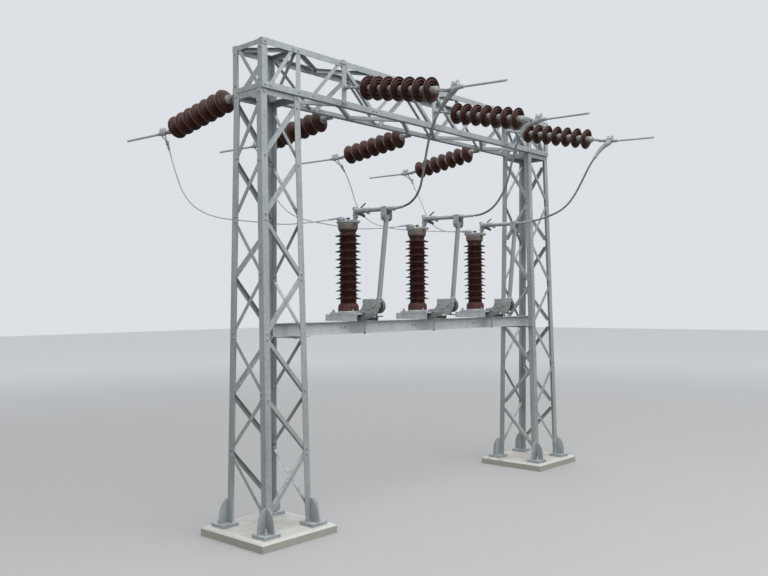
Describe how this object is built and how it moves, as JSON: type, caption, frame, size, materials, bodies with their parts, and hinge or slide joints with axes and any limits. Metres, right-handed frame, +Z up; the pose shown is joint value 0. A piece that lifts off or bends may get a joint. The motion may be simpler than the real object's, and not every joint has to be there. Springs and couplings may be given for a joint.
{
  "type": "substation switch portal",
  "caption": "Lattice steel portal on concrete plinths, with strain insulator strings, hanging droppers, and post insulator switch poles with earthing blades on a cross beam.",
  "frame": {"origin": "ground level at the middle of the portal's bounding box, below mid-span", "axes": "X along the beam, -Y the front with the earthing blades, Z up"},
  "size_m": [5.885, 4.7013, 5.01],
  "materials": {
    "galvanised_steel": "matte galvanised",
    "concrete": "rough cast concrete",
    "porcelain": "glossy brown glaze",
    "cast_fittings": "galvanised casting",
    "brown_castings": "brown paint on a casting",
    "aluminium": "weathered"
  },
  "bodies": {
    "portal": {"plinths": "concrete", "shoes": "galvanised_steel", "left_legs": "galvanised_steel", "right_legs": "galvanised_steel", "left_lacing_front": "galvanised_steel", "left_lacing_back": "galvanised_steel", "left_lacing_inner": "galvanised_steel", "left_lacing_outer": "galvanised_steel", "right_lacing_front": "galvanised_steel", "right_lacing_back": "galvanised_steel", "right_lacing_inner": "galvanised_steel", "right_lacing_outer": "galvanised_steel", "head_frames": "galvanised_steel", "beam_chords": "galvanised_steel", "beam_posts": "galvanised_steel", "beam_lacing_front": "galvanised_steel", "beam_lacing_back": "galvanised_steel", "beam_lacing_bottom": "galvanised_steel", "beam_lacing_top": "galvanised_steel", "beam_end_braces": "galvanised_steel", "string_brackets": "galvanised_steel", "front_discs": "porcelain", "front_fittings": "cast_fittings", "back_discs": "porcelain", "back_fittings": "cast_fittings", "cross_beam": "galvanised_steel", "seat_angles": "galvanised_steel", "pole_bases": "galvanised_steel", "top_plates": "galvanised_steel", "pole_flanges": "brown_castings", "pole_porcelain": "porcelain", "contact_heads": "aluminium", "arm_brackets": "galvanised_steel", "front_dropper_1": "aluminium", "front_dropper_2": "aluminium", "front_dropper_3": "aluminium", "back_dropper_1": "aluminium", "back_dropper_2": "aluminium", "back_dropper_3": "aluminium", "back_dropper_4": "aluminium"},
    "blade_1": {"arm_1": "aluminium"},
    "blade_2": {"arm_2": "aluminium"},
    "blade_3": {"arm_3": "aluminium"}
  },
  "joints": [
    {"name": "blade_1_swing", "type": "hinge", "parent": "portal", "child": "blade_1", "pos_m": [-1.23, -0.375, 2.316], "axis": [1, 0, 0], "range_deg": [0, 80]},
    {"name": "blade_2_swing", "type": "hinge", "parent": "portal", "child": "blade_2", "pos_m": [0, -0.455, 2.316], "axis": [1, 0, 0], "range_deg": [0, 80]},
    {"name": "blade_3_swing", "type": "hinge", "parent": "portal", "child": "blade_3", "pos_m": [1.23, -0.455, 2.316], "axis": [1, 0, 0], "range_deg": [0, 80]}
  ]
}
